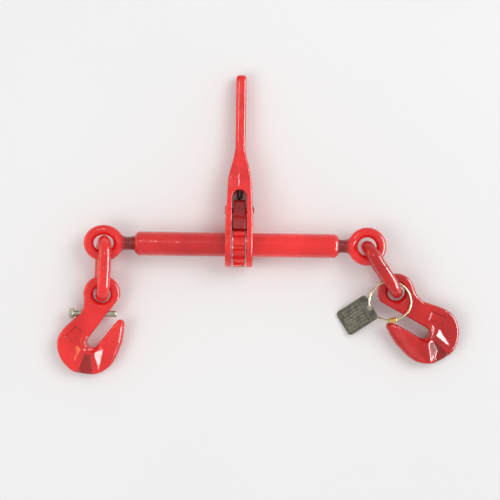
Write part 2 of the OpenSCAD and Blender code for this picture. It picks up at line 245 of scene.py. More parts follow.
def surface(name, field, low, high, step, place):
    """Closed quad mesh of the field's zero surface inside the box from low to high."""
    axes = [np.arange(a - 2 * step, b + 3 * step, step) for a, b in zip(low, high)]
    grid = np.stack(np.meshgrid(*axes, indexing="ij"), -1)
    solid = (field(*grid.reshape(-1, 3).T) < 0).reshape(grid.shape[:3])
    active = mixed_cells(solid)
    index = np.full(active.shape, -1)
    index[active] = np.arange(active.sum())
    quads = wall_quads(solid, index)
    points = relax(field, grid[:-1, :-1, :-1][active] + step / 2, quads, step)
    slope = gradient(field, points)
    slope /= np.maximum(np.linalg.norm(slope, axis=1, keepdims=True), 1e-9)
    return build_mesh(name, points, quads.tolist(), place, slope)


def skin(name, rings, place, closed=False):
    """Mesh over rings of points: an array of ring, point in ring, coordinate."""
    count, sides = rings.shape[:2]
    spans = count if closed else count - 1
    faces = []
    for i in range(spans):
        for k in range(sides):
            here, there = i * sides, (i + 1) % count * sides
            after = (k + 1) % sides
            faces.append((here + k, here + after, there + after, there + k))
    if not closed:
        faces.append(tuple(reversed(range(sides))))
        faces.append(tuple((count - 1) * sides + k for k in range(sides)))
    return build_mesh(name, rings.reshape(-1, 3), faces, place)


def turned(x, radius, sides):
    """Rings round the x axis, one at each x. radius has a row for each ring."""
    angle = np.linspace(0, 2 * math.pi, sides, endpoint=False)
    rings = np.empty((len(x), sides, 3))
    rings[..., 0] = x[:, None]
    rings[..., 1] = radius * np.cos(angle)
    rings[..., 2] = radius * np.sin(angle)
    return rings


def tube(name, path, radius, sides, place, up, closed):
    """Round bar along a path. radius is an array of ring, point in ring."""
    if closed:
        ahead = np.roll(path, -1, 0) - np.roll(path, 1, 0)
    else:
        ahead = np.gradient(path, axis=0)
    ahead /= np.linalg.norm(ahead, axis=1, keepdims=True)
    out = np.cross(ahead, up)
    out /= np.linalg.norm(out, axis=1, keepdims=True)
    side = np.cross(out, ahead)
    angle = np.linspace(0, 2 * math.pi, sides, endpoint=False)
    wheel = out[:, None] * np.cos(angle)[None, :, None]
    wheel = wheel + side[:, None] * np.sin(angle)[None, :, None]
    return skin(name, path[:, None] + wheel * radius[:, :, None], place, closed)


def mark(mesh, place, amount):
    """Writes an amount of wear and painted shade for each point, from a function of its own place in
    millimetres.
    """
    points = np.empty(3 * len(mesh.vertices))
    mesh.vertices.foreach_get("co", points)
    back = np.array(place.inverted())
    local = points.reshape(-1, 3) / MM @ back[:3, :3].T + back[:3, 3]
    worn = mesh.attributes.new("worn", "FLOAT", "POINT")
    worn.data.foreach_set("value", amount(*local.T).astype(float))


def soften(node, body, material, width):
    """Copy of a CAD node with its edges rounded by width, in millimetres."""
    mesh = frame["nodes"][node].data.copy()
    form = bmesh.new()
    form.from_mesh(mesh)
    bmesh.ops.remove_doubles(form, verts=form.verts, dist=0.001 * MM)
    bmesh.ops.dissolve_limit(
        form, angle_limit=math.radians(1), verts=form.verts, edges=form.edges
    )
    form.to_mesh(mesh)
    form.free()
    obj = add_object(node + "_finished", mesh, material, body, [node])
    bevel = obj.modifiers.new("rounded_edges", "BEVEL")
    bevel.width = width * MM
    bevel.segments = 2
    bevel.limit_method = "ANGLE"
    bevel.angle_limit = math.radians(28)
    mesh.shade_smooth()
    mesh.set_sharp_from_angle(angle=math.radians(40))
    return obj


# ---- materials ----

# Dark red that the red paint is blended towards: painted shade in the hooks' pockets, along their
# panels' edges and on the barrel's left half, and darkening towards the eye screws' necks.
PAINTED_SHADE_RED = (0.13, 0.004, 0.006, 1)
RUST = (0.07, 0.035, 0.02, 1)
BARE_GOLD = (0.62, 0.34, 0.07, 1)
CHIP_FROM = 0.56


class Shader:
    """Small helper that wires the nodes of one material."""

    def __init__(self, name):
        self.material = bpy.data.materials.new(name)
        self.material.use_nodes = True
        self.tree = self.material.node_tree
        self.surface = self.tree.nodes["Principled BSDF"]
        self.coordinates = self.add("ShaderNodeTexCoord").outputs["Object"]

    def add(self, kind, **values):
        node = self.tree.nodes.new(kind)
        for name, value in values.items():
            self.set(node.inputs[name.replace("_", " ")], value)
        return node

    def set(self, socket, value):
        if isinstance(value, bpy.types.NodeSocket):
            self.tree.links.new(value, socket)
        else:
            socket.default_value = value

    def noise(self, scale, detail=3.0, roughness=0.5):
        node = self.add("ShaderNodeTexNoise", Vector=self.coordinates, Scale=scale)
        self.set(node.inputs["Detail"], detail)
        self.set(node.inputs["Roughness"], roughness)
        return node.outputs["Fac"]

    def remap(self, value, low, high, to_low=0.0, to_high=1.0):
        node = self.add("ShaderNodeMapRange")
        node.clamp = True
        self.set(node.inputs["Value"], value)
        self.set(node.inputs["From Min"], low)
        self.set(node.inputs["From Max"], high)
        self.set(node.inputs["To Min"], to_low)
        self.set(node.inputs["To Max"], to_high)
        return node.outputs["Result"]

    def math(self, operation, a, b):
        node = self.tree.nodes.new("ShaderNodeMath")
        node.operation = operation
        self.set(node.inputs[0], a)
        self.set(node.inputs[1], b)
        return node.outputs["Value"]

    def blend(self, factor, a, b):
        node = self.tree.nodes.new("ShaderNodeMix")
        node.data_type = "RGBA"
        self.set(node.inputs["Factor"], factor)
        self.set(node.inputs["A"], a)
        self.set(node.inputs["B"], b)
        return node.outputs["Result"]

    def worn(self):
        """The wear and painted shade that mark() wrote on the mesh."""
        node = self.tree.nodes.new("ShaderNodeAttribute")
        node.attribute_name = "worn"
        return node.outputs["Fac"]

    def edges(self, low, high):
        """One on sharp outer edges, zero on flat faces."""
        node = self.tree.nodes.new("ShaderNodeNewGeometry")
        return self.remap(node.outputs["Pointiness"], low, high)

    def bump(self, height, distance, under=None):
        node = self.add("ShaderNodeBump", Height=height, Distance=distance * MM)
        node.inputs["Strength"].default_value = 1.0
        if under:
            self.set(node.inputs["Normal"], under)
        return node.outputs["Normal"]

    def finish(self, **values):
        for name, value in values.items():
            self.set(self.surface.inputs[name.replace("_", " ")], value)
        return self.material


def red_enamel(name, deep, bright):
    """Thick glossy paint over a rough forging, chipped along its edges."""
    s = Shader(name)
    tone = s.remap(s.noise(22.0, 3.0), 0.35, 0.65)
    paint = s.blend(tone, (*deep, 1), (*bright, 1))
    # Painted shade: the mesh's marks darken the paint in the hooks' pockets, along their panels' edges
    # and on the barrel's left half; the same marks darken it towards the eye screws' necks.
    paint = s.blend(s.worn(), paint, PAINTED_SHADE_RED)
    patches = s.remap(s.noise(95.0, 4.0, 0.6), 0.52, 0.62)
    chips = s.math("MULTIPLY", s.edges(CHIP_FROM, CHIP_FROM + 0.03), patches)
    bare = s.blend(s.noise(400.0), RUST, BARE_GOLD)
    colour = s.blend(chips, paint, bare)
    gloss = s.remap(s.noise(60.0), 0.3, 0.7, 0.2, 0.34)
    roughness = s.math("ADD", gloss, s.math("MULTIPLY", chips, 0.25))
    forged = s.bump(s.noise(70.0, 2.0), 0.55)
    peel = s.bump(s.noise(520.0, 2.0), 0.05, forged)
    return s.finish(
        Base_Color=colour,
        Roughness=roughness,
        Normal=peel,
        Coat_Weight=0.6,
        Coat_Roughness=0.08,
        Coat_Normal=forged,
        Specular_IOR_Level=0.3,
    )


def metal(name, dark, light, low_rough, high_rough, grain, depth, metallic=1.0):
    """Plated or bare metal with a mottled tone, fine grain and brighter worn edges."""
    s = Shader(name)
    tone = s.remap(s.noise(130.0, 4.0, 0.6), 0.35, 0.65)
    colour = s.blend(tone, (*dark, 1), (*light, 1))
    rubbed = (*(min(1.0, 1.35 * c + 0.05) for c in light), 1)
    colour = s.blend(s.edges(0.53, 0.6), colour, rubbed)
    colour = s.blend(s.worn(), colour, rubbed)
    fine = s.noise(grain, 3.0, 0.6)
    return s.finish(
        Base_Color=colour,
        Metallic=metallic,
        Roughness=s.remap(fine, 0.3, 0.7, low_rough, high_rough),
        Normal=s.bump(fine, depth),
    )


def floor_material():
    s = Shader("pale_floor")
    tone = s.blend(s.noise(3.0), (0.86, 0.86, 0.86, 1), (0.9, 0.9, 0.9, 1))
    return s.finish(
        Base_Color=tone,
        Roughness=s.remap(s.noise(8.0), 0.3, 0.7, 0.85, 0.95),
        Normal=s.bump(s.noise(300.0), 0.05),
        Specular_IOR_Level=0.0,
    )


RED = red_enamel("red_enamel", (0.70, 0.013, 0.014), (0.92, 0.026, 0.026))
DEEP_RED = red_enamel("deep_red_enamel", (0.46, 0.006, 0.006), (0.64, 0.011, 0.010))
PAWL_RED = red_enamel("pawl_enamel", (0.20, 0.006, 0.005), (0.36, 0.008, 0.007))
BRIGHT_STEEL = metal("bright_steel", (0.40, 0.40, 0.41), (0.62, 0.62, 0.63), 0.25, 0.42, 700.0, 0.03)
DARK_STEEL = metal("dark_steel", (0.07, 0.07, 0.075), (0.17, 0.165, 0.16), 0.35, 0.6, 500.0, 0.05)
OILED = metal("oiled_thread", (0.12, 0.012, 0.012), (0.30, 0.03, 0.028), 0.25, 0.5, 500.0, 0.04, 0.4)
ZINC = metal("zinc_plate", (0.27, 0.28, 0.20), (0.52, 0.52, 0.42), 0.28, 0.5, 600.0, 0.04)
BRASS = metal("pale_brass", (0.55, 0.48, 0.28), (0.80, 0.73, 0.52), 0.25, 0.42, 800.0, 0.02)
GOLD = metal("gold_brass", (0.58, 0.36, 0.06), (0.86, 0.62, 0.18), 0.22, 0.4, 700.0, 0.03)
TAG = metal("tag_metal", (0.08, 0.08, 0.065), (0.20, 0.195, 0.155), 0.35, 0.6, 260.0, 0.05, 0.5)


# ---- hooks ----
# Places are from the middle of the hook's eye, in the axes of the left hook, which points down.

SEAT = (-12.7, -65.6)
THROAT_ANGLE = math.radians(53)
ALONG = (math.cos(THROAT_ANGLE), math.sin(THROAT_ANGLE))
ACROSS = (ALONG[1], -ALONG[0])
THROAT_R = 7.5
SLOT_R = 8.0
HOOK_BODY = (-18.5, -69.0)
HOOK_BODY_R = 42.0
HOOK_TIP = (25.2, -40.4)
HOOK_TIP_R = 5.5
HOOK_HALF = 7.5
HOOK_HOLE_R = 11.75
HOOK_EYE_R = 25.0
BOLT_Y = -27.0
BOLT_HOLE_R = 4.1
BOLT_FACE_R = 8.0
BOLT_FACE_X = -36.8
RIDGE_TOP = (27.8, -39.0)
RIDGE_FOOT = (16.9, -79.2)
MOUND_HEIGHT = 6.6
POCKET_DEPTH = 2.8
RIB_TOP = 14.4
RIB_FALL = 7.4
FLANK = 1.5
POCKET = [(-22.0, -82.0), (-33.0, -112.0), (-13.0, -112.0), (-15.0, -82.0)]
FIRST_RIB = ((-25.0, -75.0), (-39.5, -100.5))
SECOND_RIB = ((-11.5, -79.0), (-6.0, -104.0))
PANEL_AT = (-37.5, -54.6)
PANEL_HALF = (10.0, 5.6)
PANEL_DEPTH = 1.2
DIAGONAL = 0.7071
HOOK_LOW = (-62.0, -112.0, -18.0)
HOOK_HIGH = (31.0, 25.0, 18.0)


def offset(point, along, across):
    """A point that lies this far along and across the throat from another."""
    return (
        point[0] + along * ALONG[0] + across * ACROSS[0],
        point[1] + along * ALONG[1] + across * ACROSS[1],
    )


SHANK_OUTLINE = [
    (HOOK_EYE_R - 7, 0.0),
    (18.5, -13.0),
    offset(SEAT, 4, -THROAT_R - 1),
    HOOK_BODY,
    (-51.0, -50.0),
    (-38.0, -36.5),
    (-29.3, -27.5),
    (-25.0, -18.0),
    (-23.0, -7.0),
    (4 - HOOK_EYE_R, 0.0),
]
PRONG_OUTLINE = [
    (HOOK_TIP[0] + HOOK_TIP_R, HOOK_TIP[1]),
    (30.2, -51.0),
    (27.5, -67.5),
    (17.5, -85.0),
    HOOK_BODY,
    offset(SEAT, 0, THROAT_R),
    offset(SEAT, 38, THROAT_R + 1.6),
    HOOK_TIP,
]


def throat_field(x, y):
    """The open slot that a chain link drops into."""
    start = offset(SEAT, 0, SLOT_R - THROAT_R)
    return segment(x, y, start, offset(start, 70, 0))[0] - SLOT_R


def hook_outline(x, y):
    """The hook's flat outline: round body, shank up to the eye, and prong, less the slot."""
    shoulder = 0.77 * y - 0.64 * x + 2.4
    body = cut(disc(x, y, HOOK_BODY, HOOK_BODY_R), shoulder, 9.0)
    shank = polygon(x, y, SHANK_OUTLINE)
    prong = polygon(x, y, PRONG_OUTLINE)
    prong = join(prong, disc(x, y, HOOK_TIP, HOOK_TIP_R), 1.0)
    near_slot = segment(x, y, offset(SEAT, 10, THROAT_R + 6), HOOK_TIP)[0] - 5.6
    prong = join(prong, near_slot, 1.0)
    whole = join(join(body, shank, 5.0), prong, 4.0)
    return np.maximum(whole, -throat_field(x, y))


def panel_flat(x, y):
    """The blank panel, set aslant on the hook's cheek."""
    along = (x - PANEL_AT[0] + y - PANEL_AT[1]) * DIAGONAL
    across = (y - PANEL_AT[1] - x + PANEL_AT[0]) * DIAGONAL
    return box_flat(along, across, *PANEL_HALF)


def prong_height(x, y, past_throat):
    """What the prong's ridge adds to the half thickness, falling away on both sides of it."""
    run = (RIDGE_TOP[0] - RIDGE_FOOT[0], RIDGE_TOP[1] - RIDGE_FOOT[1])
    beside = ((x - RIDGE_FOOT[0]) * run[1] - (y - RIDGE_FOOT[1]) * run[0]) / math.hypot(*run)
    fall = np.where(beside < 0, np.minimum(-0.3 * beside, 3.2), 0.55 * beside)
    return smooth((past_throat - 4.0) / 8.0) * (0.6 - fall)


def mound_height(x, y, past_throat):
    """What the mound round the chain's seat adds to the half thickness."""
    from_seat = np.hypot(x - SEAT[0], y - SEAT[1])
    mouth = (x - SEAT[0]) * ALONG[0] + (y - SEAT[1]) * ALONG[1]
    mound = bump_at(np.maximum(from_seat - 9.0, 0.0), 4.6) * smooth((3.0 - mouth) / 9.0)
    return MOUND_HEIGHT * mound * smooth((9.0 - past_throat) / 8.0)


def hook_half_height(x, y, z):
    """Half thickness of the forging: a ridged prong, a pocket, a mound and a blank panel."""
    past_throat = (x - SEAT[0]) * ACROSS[0] + (y - SEAT[1]) * ACROSS[1]
    height = HOOK_HALF + prong_height(x, y, past_throat)
    height = height - POCKET_DEPTH * smooth(0.5 - polygon(x, y, POCKET) / 3.0)
    height = height + mound_height(x, y, past_throat)
    panel = panel_flat(x, y)
    recess = PANEL_DEPTH * smooth(0.5 - panel / 1.4) - 0.3 * bump_at(panel - 1.6, 0.9)
    return height - np.where(z > 0, recess, 0.0)


def cradle_rib(x, y, z, inner, outer, wide, narrow):
    """Rib that falls and thins from inner to outer, with broad sloping sides."""
    away, along = segment(x, y, inner, outer)
    top = RIB_TOP - RIB_FALL * along
    half_width = wide + (narrow - wide) * along
    sloping = (away - half_width + FLANK * (np.abs(z) - top)) / math.hypot(1.0, FLANK)
    inside = hook_outline(x, y) + 0.5 * np.maximum(np.abs(z) - HOOK_HALF + 4.0, 0.0)
    return cut(slab(sloping, z, top, 1.0), inside, 1.5)


def hook_field(x, y, z):
    """The whole forging: eye, body, prong and the two cradle ribs, less the slot."""
    from_eye = np.hypot(x, y)
    eye_middle = (HOOK_EYE_R + HOOK_HOLE_R) / 2
    eye_half = (HOOK_EYE_R - HOOK_HOLE_R) / 2
    eye = slab(np.abs(from_eye - eye_middle) - eye_half, z, HOOK_HALF, 5.4)
    plate = slab(hook_outline(x, y), z, hook_half_height(x, y, z), 4.6)
    plate = cut(plate, HOOK_HOLE_R + 4 - from_eye, 3.0)
    solid = join(plate, eye, 4.0)
    first = cradle_rib(x, y, z, *FIRST_RIB, 0.9, 0.6)
    second = cradle_rib(x, y, z, *SECOND_RIB, 1.0, 0.6)
    solid = join(join(solid, first, 1.2), second, 1.2)
    return np.maximum(solid, -throat_field(x, y))


def hook_painted_shade(x, y, z):
    """Painted shade in the pocket between the ribs and along the outline of the blank panel."""
    from_ribs = np.minimum(
        segment(x, y, *FIRST_RIB)[0],
        segment(x, y, *SECOND_RIB)[0],
    )
    between = smooth(0.8 - polygon(x, y, POCKET) / 2.5) * smooth((from_ribs - 0.5) / 3.0)
    panel = bump_at(np.minimum(np.abs(panel_flat(x, y)), 9.0), 0.8) * (z > 0)
    return np.clip(0.6 * between + 0.35 * panel, 0.0, 1.0)


def bolted_hook_field(x, y, z):
    """The left hook, drilled for the safety bolt and faced flat under its head."""
    away = np.hypot(y - BOLT_Y, z)
    solid = cut(hook_field(x, y, z), BOLT_HOLE_R - away, 0.6)
    return np.maximum(solid, -np.maximum(away - BOLT_FACE_R, x - BOLT_FACE_X))


def hook_place(joint):
    """A hook's own axes, from its eye's pivot and the pivot's lean."""
    lean = Vector(JOINTS[joint]["axis"])
    way = math.degrees(math.atan2(lean.x, -lean.y))
    return move(*pivot(joint)) @ turn("Z", way) @ turn("X", math.degrees(math.acos(lean.z)))


def make_hooks():
    left = hook_place("left_hook_swing")
    mesh = surface("left_hook_forging", bolted_hook_field, HOOK_LOW, HOOK_HIGH, 0.9, left)
    # Painted shade in the pocket between the ribs and along the panel's edge.
    mark(mesh, left, hook_painted_shade)
    add_object("left_hook_forging", mesh, RED, "left_hook", ["left_hook"])
    right = hook_place("right_hook_swing") @ Matrix.Scale(-1, 4, (1, 0, 0))
    mesh = surface("right_hook_forging", hook_field, HOOK_LOW, HOOK_HIGH, 0.9, right)
    # Painted shade in the pocket between the ribs and along the panel's edge.
    mark(mesh, right, hook_painted_shade)
    add_object("right_hook_forging", mesh, DEEP_RED, "right_hook", ["right_hook"])


# ---- eye screws ----
# Places are from the middle of the eye, in the axes of the right screw, whose shank runs along -x.

SHANK_END = 152.2
THREAD_START = 37.3
THREAD_LEAD = 5.0
THREAD_DEPTH = 1.5
SCREW_R = 10.0
NECK_R = 9.0
NECK_MIDDLE = 30.1
NECK_HALF = 11.2
NECK_LINES = (31.5, 35.0)
EYE_BAR_R = 6.8
LEFT_EYE_RADII = (20.3, 17.7)
RIGHT_EYE_RADII = (19.4, 19.0)


def neck_lines(x, width):
    """One on each fine line turned round the neck, fading over width."""
    return sum(bump_at(x + line, width) for line in NECK_LINES)


def eye_field(radius_x, radius_y):
    """An oval eye of round bar, with the round neck that runs into the screw."""

    def field(x, y, z):
        scale = np.hypot(x / radius_x, y / radius_y)
        slope = np.hypot(x / radius_x**2, y / radius_y**2)
        flat = (scale - 1.0) * scale / np.maximum(slope, 0.01)
        ring = np.hypot(flat, z) - EYE_BAR_R
        groove = 0.35 * neck_lines(x, 0.8)
        neck = slab(np.hypot(y, z) - NECK_R + groove, x + NECK_MIDDLE, NECK_HALF, 0.8)
        neck = cut(neck, 13.0 - np.hypot(x, y), 2.0)
        return join(ring, neck, 5.5)

    return field


def neck_darkening(x, y, z):
    """Darkens the paint where the eye runs into the neck, and paints shade into the neck's lines."""
    return np.clip(0.75 * smooth((-x - 22.0) / 7.0) + 0.25 * neck_lines(x, 1.0), 0.0, 1.0)


def thread_mesh(name, place):
    """The shank, with a thread that fades out at both ends."""
    steps, sides = 260, 48
    x = np.linspace(-SHANK_END, -THREAD_START, steps)
    angle = np.linspace(0, 2 * math.pi, sides, endpoint=False)
    share = (x[:, None] / THREAD_LEAD + angle[None] / (2 * math.pi)) % 1.0
    valley = smooth(1.6 - np.abs(share - 0.5) * 5.2)
    fade = smooth((-THREAD_START - x) / 5.0) * smooth((x + SHANK_END) / 3.0)
    radius = SCREW_R - 0.6 + 0.6 * fade[:, None] - THREAD_DEPTH * valley * fade[:, None]
    return skin(name, turned(x, radius, sides), place)


def make_eye_screws():
    low, high = (-42.0, -27.0, -10.5), (28.5, 27.0, 10.5)
    for side, flip, radii in (("left", -1, LEFT_EYE_RADII), ("right", 1, RIGHT_EYE_RADII)):
        body, node = side + "_screw", side + "_eye_screw"
        eye = pivot(side + "_link_swing")
        place = move(eye.x, 0, 0) @ Matrix.Scale(flip, 4, (1, 0, 0))
        mesh = surface(side + "_eye_forging", eye_field(*radii), low, high, 0.8, place)
        # Darker paint towards the neck, with painted shade in its lines.
        mark(mesh, place, neck_darkening)
        add_object(side + "_eye_forging", mesh, RED, body, [node])
        mesh = thread_mesh(side + "_thread", place)
        add_object(side + "_thread", mesh, OILED, body, [node])


# ---- lever ----
# Places are from the barrel's middle line, with y along the lever and z through its round cheeks.

LEVER_LEN = 231.5
FORK_R = 31.0
FORK_HALF = 18.75
GRIP_HALF = 6.9
GRIP_DEPTH_HALF = 12.5
SLOT_HALF = 10.0
SLOT_ROUND_AT = 63.0
PAWL_PIVOT = 47.0
PIN_HOLE_R = 4.02
PIN_FACE_R = 7.0
PIN_FACE_X = 17.35
BARREL_HOLE_R = 16.35
DETENT_BORE_R = 3.96
DETENT_BORE_END = 106.0
END_ROUND = 11.5
COIL_TURNS = 7
COIL_START = 81.3
COIL_LEN = 23.6
COIL_R = 2.6
COIL_WIRE_R = 0.6


def lever_half_width(y):
    """Half size across the fork, narrowing into the grip."""
    head = FORK_HALF - 2.1 * smooth((y - 20.0) / 60.0)
    return head + (GRIP_HALF - head) * smooth((y - 78.0) / 56.0)


def lever_half_depth(y):
    """Half size through the wheel's round cheeks, falling to the grip's depth."""
    head = FORK_R - 1.2 - 11.8 * (y - 8.0) / 70.0
    grip = 18.0 + (GRIP_DEPTH_HALF - 18.0) * smooth((y - 78.0) / 70.0)
    return head + (grip - head) * smooth((y - 62.0) / 34.0)


def lever_blank(x, y, z):
    """The lever's outer form, with a crowned end and a faint forging seam."""
    cheeks = np.hypot(y, z) - FORK_R
    arm = np.where(y > 4.0, np.abs(z) - lever_half_depth(y), 1e9)
    width = np.abs(x) - lever_half_width(y)
    edge_r = 3.4 + 0.8 * smooth((y - 70.0) / 60.0)
    solid = round_corner(width, np.minimum(arm, cheeks), edge_r)
    crown = np.hypot(y - LEVER_LEN + END_ROUND, 0.62 * z) - END_ROUND
    solid = cut(solid, np.where(y > LEVER_LEN - END_ROUND, crown, y - LEVER_LEN), 5.0)
    seam = 0.3 * bump_at(x, 1.3) * smooth((y - 74.0) / 6.0) * smooth((150.0 - y) / 50.0)
    return solid - seam


def lever_field(x, y, z):
    """The lever with its wheel slot, barrel hole, pin hole and detent bore."""
    slot_end = disc(x, y, (0, SLOT_ROUND_AT), SLOT_HALF)
    slot = np.where(y < SLOT_ROUND_AT, np.abs(x) - SLOT_HALF, slot_end)
    solid = cut(lever_blank(x, y, z), -slot, 1.4)
    solid = cut(solid, BARREL_HOLE_R - np.hypot(y, z), 1.2)
    from_pin = np.hypot(y - PAWL_PIVOT, z)
    solid = np.maximum(solid, PIN_HOLE_R - from_pin)
    solid = np.maximum(solid, -np.maximum(from_pin - PIN_FACE_R, PIN_FACE_X - np.abs(x)))
    bore = np.maximum(np.hypot(x, z) - DETENT_BORE_R, y - DETENT_BORE_END)
    return np.maximum(solid, -bore)


def lever_place():
    """The lever's own axes."""
    along = JOINTS["plunger_slide"]["axis"]
    return turn("X", math.degrees(math.atan2(along[2], along[1])))


def make_lever():
    low, high = (-19.0, -31.5, -31.5), (19.0, LEVER_LEN, 31.5)
    mesh = surface("lever_forging", lever_field, low, high, 0.95, lever_place())
    add_object("lever_forging", mesh, RED, "lever", ["lever"])


def make_detent_coil():
    t = np.linspace(0, 1, COIL_TURNS * 24)
    path = np.stack([
        COIL_R * np.cos(2 * math.pi * COIL_TURNS * t),
        COIL_START + 0.7 + (COIL_LEN - 1.4) * t,
        COIL_R * np.sin(2 * math.pi * COIL_TURNS * t),
    ], 1)
    wire = np.full((len(t), 10), COIL_WIRE_R)
    mesh = tube("detent_coil", path, wire, 10, lever_place(), (0, 1, 0), False)
    add_object("detent_coil", mesh, BRIGHT_STEEL, "lever", ["detent_spring"])


# ---- links ----

LINK_PITCH = 73.0
LINK_BEND_R = 20.6
LINK_WIRE_R = 8.6
LEFT_LINK_LEAN = 11.5


def link_path(count):
    """Middle line of a link, and how far each point on it is from the weld."""
    straight = LINK_PITCH / 2 - LINK_BEND_R
    bend = math.pi * LINK_BEND_R
    s = np.linspace(0, 4 * straight + 2 * bend, count, endpoint=False)
    path = np.zeros((count, 3))
    right = (s >= 2 * straight) & (s < 2 * straight + bend)
    under = (s >= 2 * straight + bend) & (s < 4 * straight + bend)
    left = s >= 4 * straight + bend
    top = s < 2 * straight
    path[top, 0], path[top, 2] = s[top] - straight, LINK_BEND_R
    a = math.pi / 2 - (s[right] - 2 * straight) / LINK_BEND_R
    path[right, 0] = straight + LINK_BEND_R * np.cos(a)
    path[right, 2] = LINK_BEND_R * np.sin(a)
    path[under, 0] = straight - (s[under] - 2 * straight - bend)
    path[under, 2] = -LINK_BEND_R
    a = -math.pi / 2 - (s[left] - 4 * straight - bend) / LINK_BEND_R
    path[left, 0] = -straight + LINK_BEND_R * np.cos(a)
    path[left, 2] = LINK_BEND_R * np.sin(a)
    return path, s - straight


def link_mesh(name, place, seed):
    """A link of slightly uneven wire, with a weld bead in the middle of one side."""
    count, sides = 220, 36
    path, s = link_path(count)
    angle = np.linspace(0, 2 * math.pi, sides, endpoint=False)
    chance = np.random.default_rng(seed)
    phase = chance.uniform(0, 2 * math.pi, 4)
    radius = np.full((count, sides), LINK_WIRE_R - 0.12)
    radius += 0.07 * np.sin(s[:, None] / 9.0 + phase[0]) * np.cos(2 * angle[None] + phase[1])
    bead = 1.0 + 0.35 * np.cos(2 * angle + phase[2]) + 0.2 * np.sin(5 * angle + phase[3])
    radius += 0.45 * bump_at(s[:, None] + 0.25 * np.sin(3 * angle)[None], 1.7) * bead[None]
    return tube(name, path, radius, sides, place, (0, 1, 0), True)


def make_links():
    for side, lean, paint, seed in (
        ("left", LEFT_LINK_LEAN, RED, 3),
        ("right", 0.0, DEEP_RED, 8),
    ):
        name = side + "_link"
        eye, hook = pivot(name + "_swing"), pivot(side + "_hook_swing")
        way = math.degrees(math.atan2(hook.y - eye.y, hook.x - eye.x))
        gap = math.hypot(hook.x - eye.x, hook.y - eye.y)
        place = move(eye.x, eye.y, middle(name).z) @ turn("Z", way)
        place = place @ move(gap / 2, 0, 0) @ turn("X", -lean)
        mesh = link_mesh(name + "_wire", place, seed)
        add_object(name + "_wire", mesh, paint, name, [name])


# ---- tag set ----
# Angles round the loop are in degrees from +x. The tag runs along -x from its hole's end.

LOOP_R = 28.3
LOOP_WIRE_R = 1.35
LOOP_TILT = math.radians(5)
LOOP_FLAT = 0.86
LOOP_DIP = 7.5
LOOP_FROM_EYE = (-8.8, -14.2)
LOOP_HEIGHT = 3.2
HOLE_AT = 197.0
DIP_END = 236.0
FERRULE_AT = 279.0
FERRULE_SPAN = 10.0
FERRULE_R = 3.6
TAG_LEN, TAG_W, TAG_T = 54.5, 37.0, 1.5
TAG_TURN, TAG_DROOP, TAG_ROLL = 36.0, -31.0, -8.0
TAG_LINE_X = -12.5
TAG_ROWS = np.arange(-13.0, 14.0, 4.3)
TAG_HOLE_IN = 4.6
TAG_CORNER = 5.5


def loop_point(degrees):
    """Points round the wire loop, which dips through the tag's hole."""
    hook = pivot("right_hook_swing")
    a = np.radians(degrees)
    dip = smooth((degrees - HOLE_AT + 11.0) / 22.0) - smooth((degrees - DIP_END) / 26.0)
    flat = np.where(np.sin(a) < 0, LOOP_FLAT, 1.0)
    x = hook.x + LOOP_FROM_EYE[0] + LOOP_R * np.cos(a)
    y = hook.y + LOOP_FROM_EYE[1] + LOOP_R * np.sin(a) * math.cos(LOOP_TILT) * flat
    z = LOOP_HEIGHT + LOOP_R * np.sin(a) * math.sin(LOOP_TILT) - LOOP_DIP * dip
    return np.stack([x, y, z], -1)


def stamped_lines(x, y, z):
    """One on the tag's plain stamped dashes and its cross line, zero between them."""
    lines = bump_at(x - TAG_LINE_X, 0.55)
    chance = np.random.default_rng(4)
    for row in TAG_ROWS:
        start = 17.0
        while start < TAG_LEN - 8.0:
            size = chance.uniform(1.2, 4.5)
            dash = box_flat(x + start + size / 2, y - row, size / 2, 0.5)
            lines = np.maximum(lines, bump_at(np.maximum(dash, 0), 0.45))
            start += size + chance.uniform(1.4, 2.6)
    return np.where(z > 0, lines, 0.0)


def tag_flat(x, y):
    """The tag's outline with round corners, less its hole."""
    across = x + TAG_LEN / 2
    flat = box_flat(across, y, TAG_LEN / 2 - TAG_CORNER, TAG_W / 2 - TAG_CORNER) - TAG_CORNER
    return np.maximum(flat, 3.5 - np.hypot(x + TAG_HOLE_IN, y))


def tag_field(x, y, z):
    """Worn metal tag, from its hole end at x = 0 to -TAG_LEN, with plain stamped lines."""
    flat = tag_flat(x, y)
    rim = 0.2 * bump_at(flat + 1.4, 0.8) * (z > 0)
    return slab(flat, z, TAG_T / 2 - 0.1 - 0.3 * stamped_lines(x, y, z) + rim, 0.3)


def tag_wear(x, y, z):
    """Bright rubbed metal along the tag's lines and its edge."""
    return np.clip(0.55 * stamped_lines(x, y, z) + 0.6 * bump_at(tag_flat(x, y), 0.7), 0.0, 1.0)


def make_tag_loop():
    degrees = np.linspace(0, 360, 240, endpoint=False)
    wire = np.full((len(degrees), 14), LOOP_WIRE_R)
    mesh = tube("tag_loop_wire", loop_point(degrees), wire, 14, Matrix(), (0, 0, 1), True)
    add_object("tag_loop_wire", mesh, BRASS, "tag_loop", ["tag_loop"])


def make_tag():
    place = move(*loop_point(np.array([HOLE_AT]))[0]) @ turn("Z", TAG_TURN)
    place = place @ turn("Y", TAG_DROOP) @ turn("X", TAG_ROLL) @ move(TAG_HOLE_IN, 0, 0)
    low, high = (-TAG_LEN, -TAG_W / 2, -TAG_T / 2), (0, TAG_W / 2, TAG_T / 2)
    mesh = surface("stamped_tag", tag_field, low, high, 0.3, place)
    mark(mesh, place, tag_wear)
    add_object("stamped_tag", mesh, TAG, "tag", ["tag_plate"])


